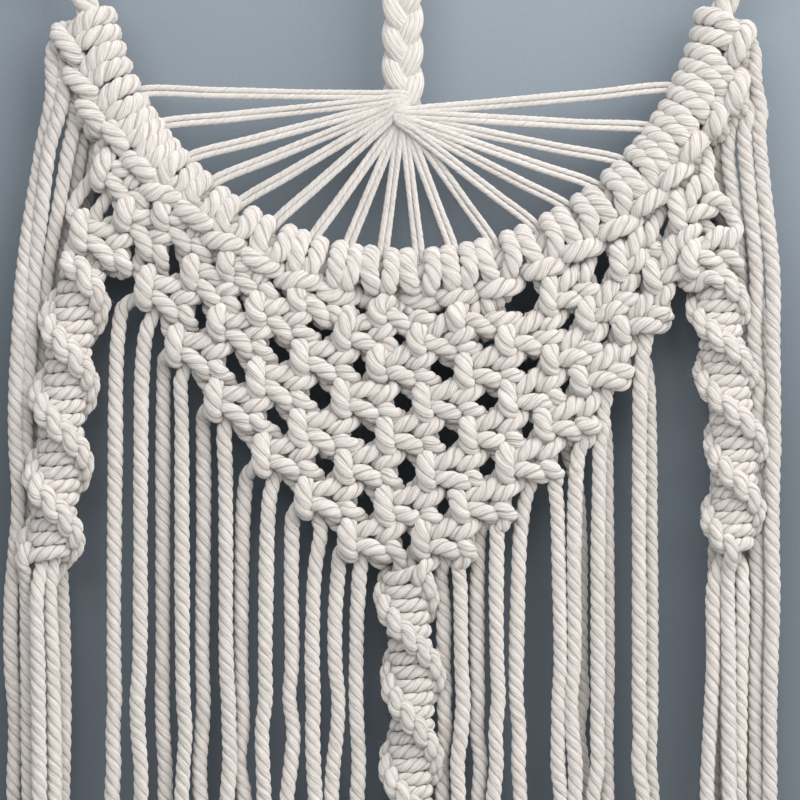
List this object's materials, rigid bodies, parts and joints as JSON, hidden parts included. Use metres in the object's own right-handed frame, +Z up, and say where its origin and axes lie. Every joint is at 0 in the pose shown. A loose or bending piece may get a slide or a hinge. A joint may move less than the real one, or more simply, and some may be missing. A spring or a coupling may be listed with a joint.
{
  "type": "macrame wall hanging",
  "caption": "Knotted cotton wall hanging: a curved cord of lark's heads, a pointed net of square knots, spirals, long fringe and a fan of thin strings that rises into a braid.",
  "frame": {"origin": "middle of the top edge, level with the upper ends of the holding cord and of the braid", "axes": "+Z up against the hang, -Y the face that shows, +X to the right of a viewer who stands in front"},
  "size_m": [0.2703, 0.0285, 0.525],
  "materials": {
    "knotting_cord": "matt undyed twisted cotton",
    "holding_cord": "matt undyed thick twisted cotton",
    "thin_string": "matt undyed thin twisted cotton"
  },
  "bodies": {
    "root": {"knotted_net": "knotting_cord", "spiral_left": "knotting_cord", "spiral_right": "knotting_cord", "spiral_centre": "knotting_cord", "side_cords_left": "knotting_cord", "side_cords_right": "knotting_cord", "holding_cord_left": "holding_cord", "holding_cord_right": "holding_cord", "fan_and_braid": "thin_string"}
  },
  "joints": []
}
